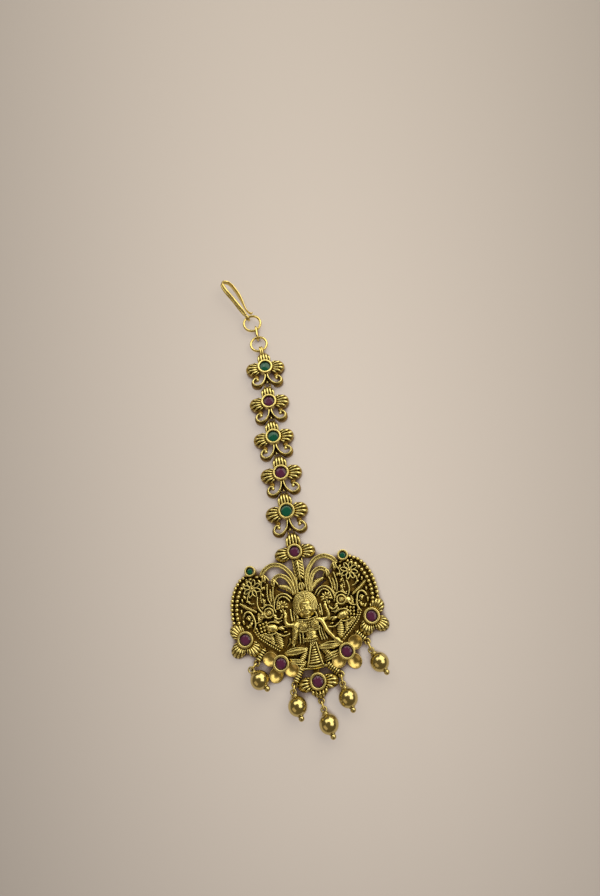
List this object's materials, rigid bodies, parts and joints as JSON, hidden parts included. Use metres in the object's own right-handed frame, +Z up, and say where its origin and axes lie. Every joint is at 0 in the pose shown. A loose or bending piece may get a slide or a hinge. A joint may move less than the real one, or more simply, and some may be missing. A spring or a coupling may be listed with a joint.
{
  "type": "maang tikka",
  "caption": "Temple-style forehead ornament: hair hook, chain of flower links and a pierced cast pendant with a seated figure, peacocks, coloured stones and bead drops.",
  "frame": {"origin": "centre of the bounding box, on the surface that the piece lies on", "axes": "+Z up from the surface through the face of the piece, +Y from the pendant to the hair hook, +X to the right"},
  "size_m": [0.0426, 0.1434, 0.0049],
  "materials": {
    "antique_gold": "antique gold plating with dark recesses",
    "polished_gold": "polished gold plating",
    "bead_gold": "polished antique gold plating",
    "green_glass": "foil-backed glass",
    "ruby_glass": "foil-backed glass"
  },
  "bodies": {
    "root": {"hair_hook": "polished_gold", "hook_ring": "polished_gold", "connector_ring": "polished_gold", "chain_ring": "polished_gold", "flower_link_1": "antique_gold", "flower_link_2": "antique_gold", "flower_link_3": "antique_gold", "flower_link_4": "antique_gold", "flower_link_5": "antique_gold", "jump_ring_1": "polished_gold", "jump_ring_2": "polished_gold", "jump_ring_3": "polished_gold", "jump_ring_4": "polished_gold", "jump_ring_5": "polished_gold", "pendant": "antique_gold", "drop_link_1": "polished_gold", "drop_link_2": "polished_gold", "drop_link_3": "polished_gold", "drop_link_4": "polished_gold", "drop_link_5": "polished_gold", "drop_1": "bead_gold", "drop_2": "bead_gold", "drop_3": "bead_gold", "drop_4": "bead_gold", "drop_5": "bead_gold", "stone_link_1": "green_glass", "stone_link_3": "green_glass", "stone_link_5": "green_glass", "stone_corner_left": "green_glass", "stone_corner_right": "green_glass", "stone_link_2": "ruby_glass", "stone_link_4": "ruby_glass", "stone_top": "ruby_glass", "stone_side_left": "ruby_glass", "stone_side_right": "ruby_glass", "stone_low_left": "ruby_glass", "stone_low_right": "ruby_glass", "stone_bottom": "ruby_glass"}
  },
  "joints": []
}
